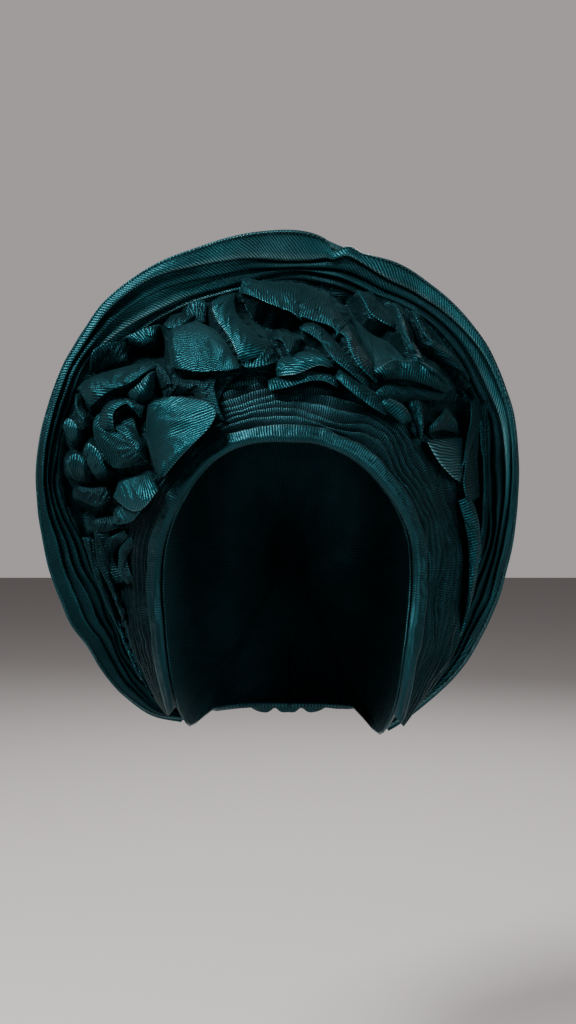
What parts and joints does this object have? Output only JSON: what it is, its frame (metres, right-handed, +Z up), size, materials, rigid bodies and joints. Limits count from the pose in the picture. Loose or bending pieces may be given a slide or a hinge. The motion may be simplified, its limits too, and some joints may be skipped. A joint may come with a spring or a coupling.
{
  "type": "tied gele head tie",
  "caption": "Tied head wrap of pleated satin: a close crown cap, a stack of brow pleats round the open face, a wide upright fan and crumpled ruffles between them.",
  "frame": {"origin": "inside top of the crown cap, where the crown of a head touches it", "axes": "+Z up, the open face and the ruffles to the front at -Y, +X to the viewer's right"},
  "size_m": [0.2738, 0.1837, 0.2888],
  "materials": {
    "crown_satin": "teal satin with a fine cross rib",
    "brow_satin": "teal satin, pleated, with shiny fold edges",
    "fan_satin": "teal satin with a fine cross rib",
    "ruffle_satin": "teal satin, crumpled, with bright sheen on its folds"
  },
  "bodies": {
    "root": {"crown_cap": "crown_satin", "brow_band": "brow_satin", "brow_pleats": "brow_satin", "fan_pleats": "fan_satin", "fan_back": "fan_satin", "rosette": "ruffle_satin", "ruffle_top": "ruffle_satin", "ruffle_right": "ruffle_satin", "gather_left": "ruffle_satin", "nape_tie": "crown_satin"}
  },
  "joints": []
}
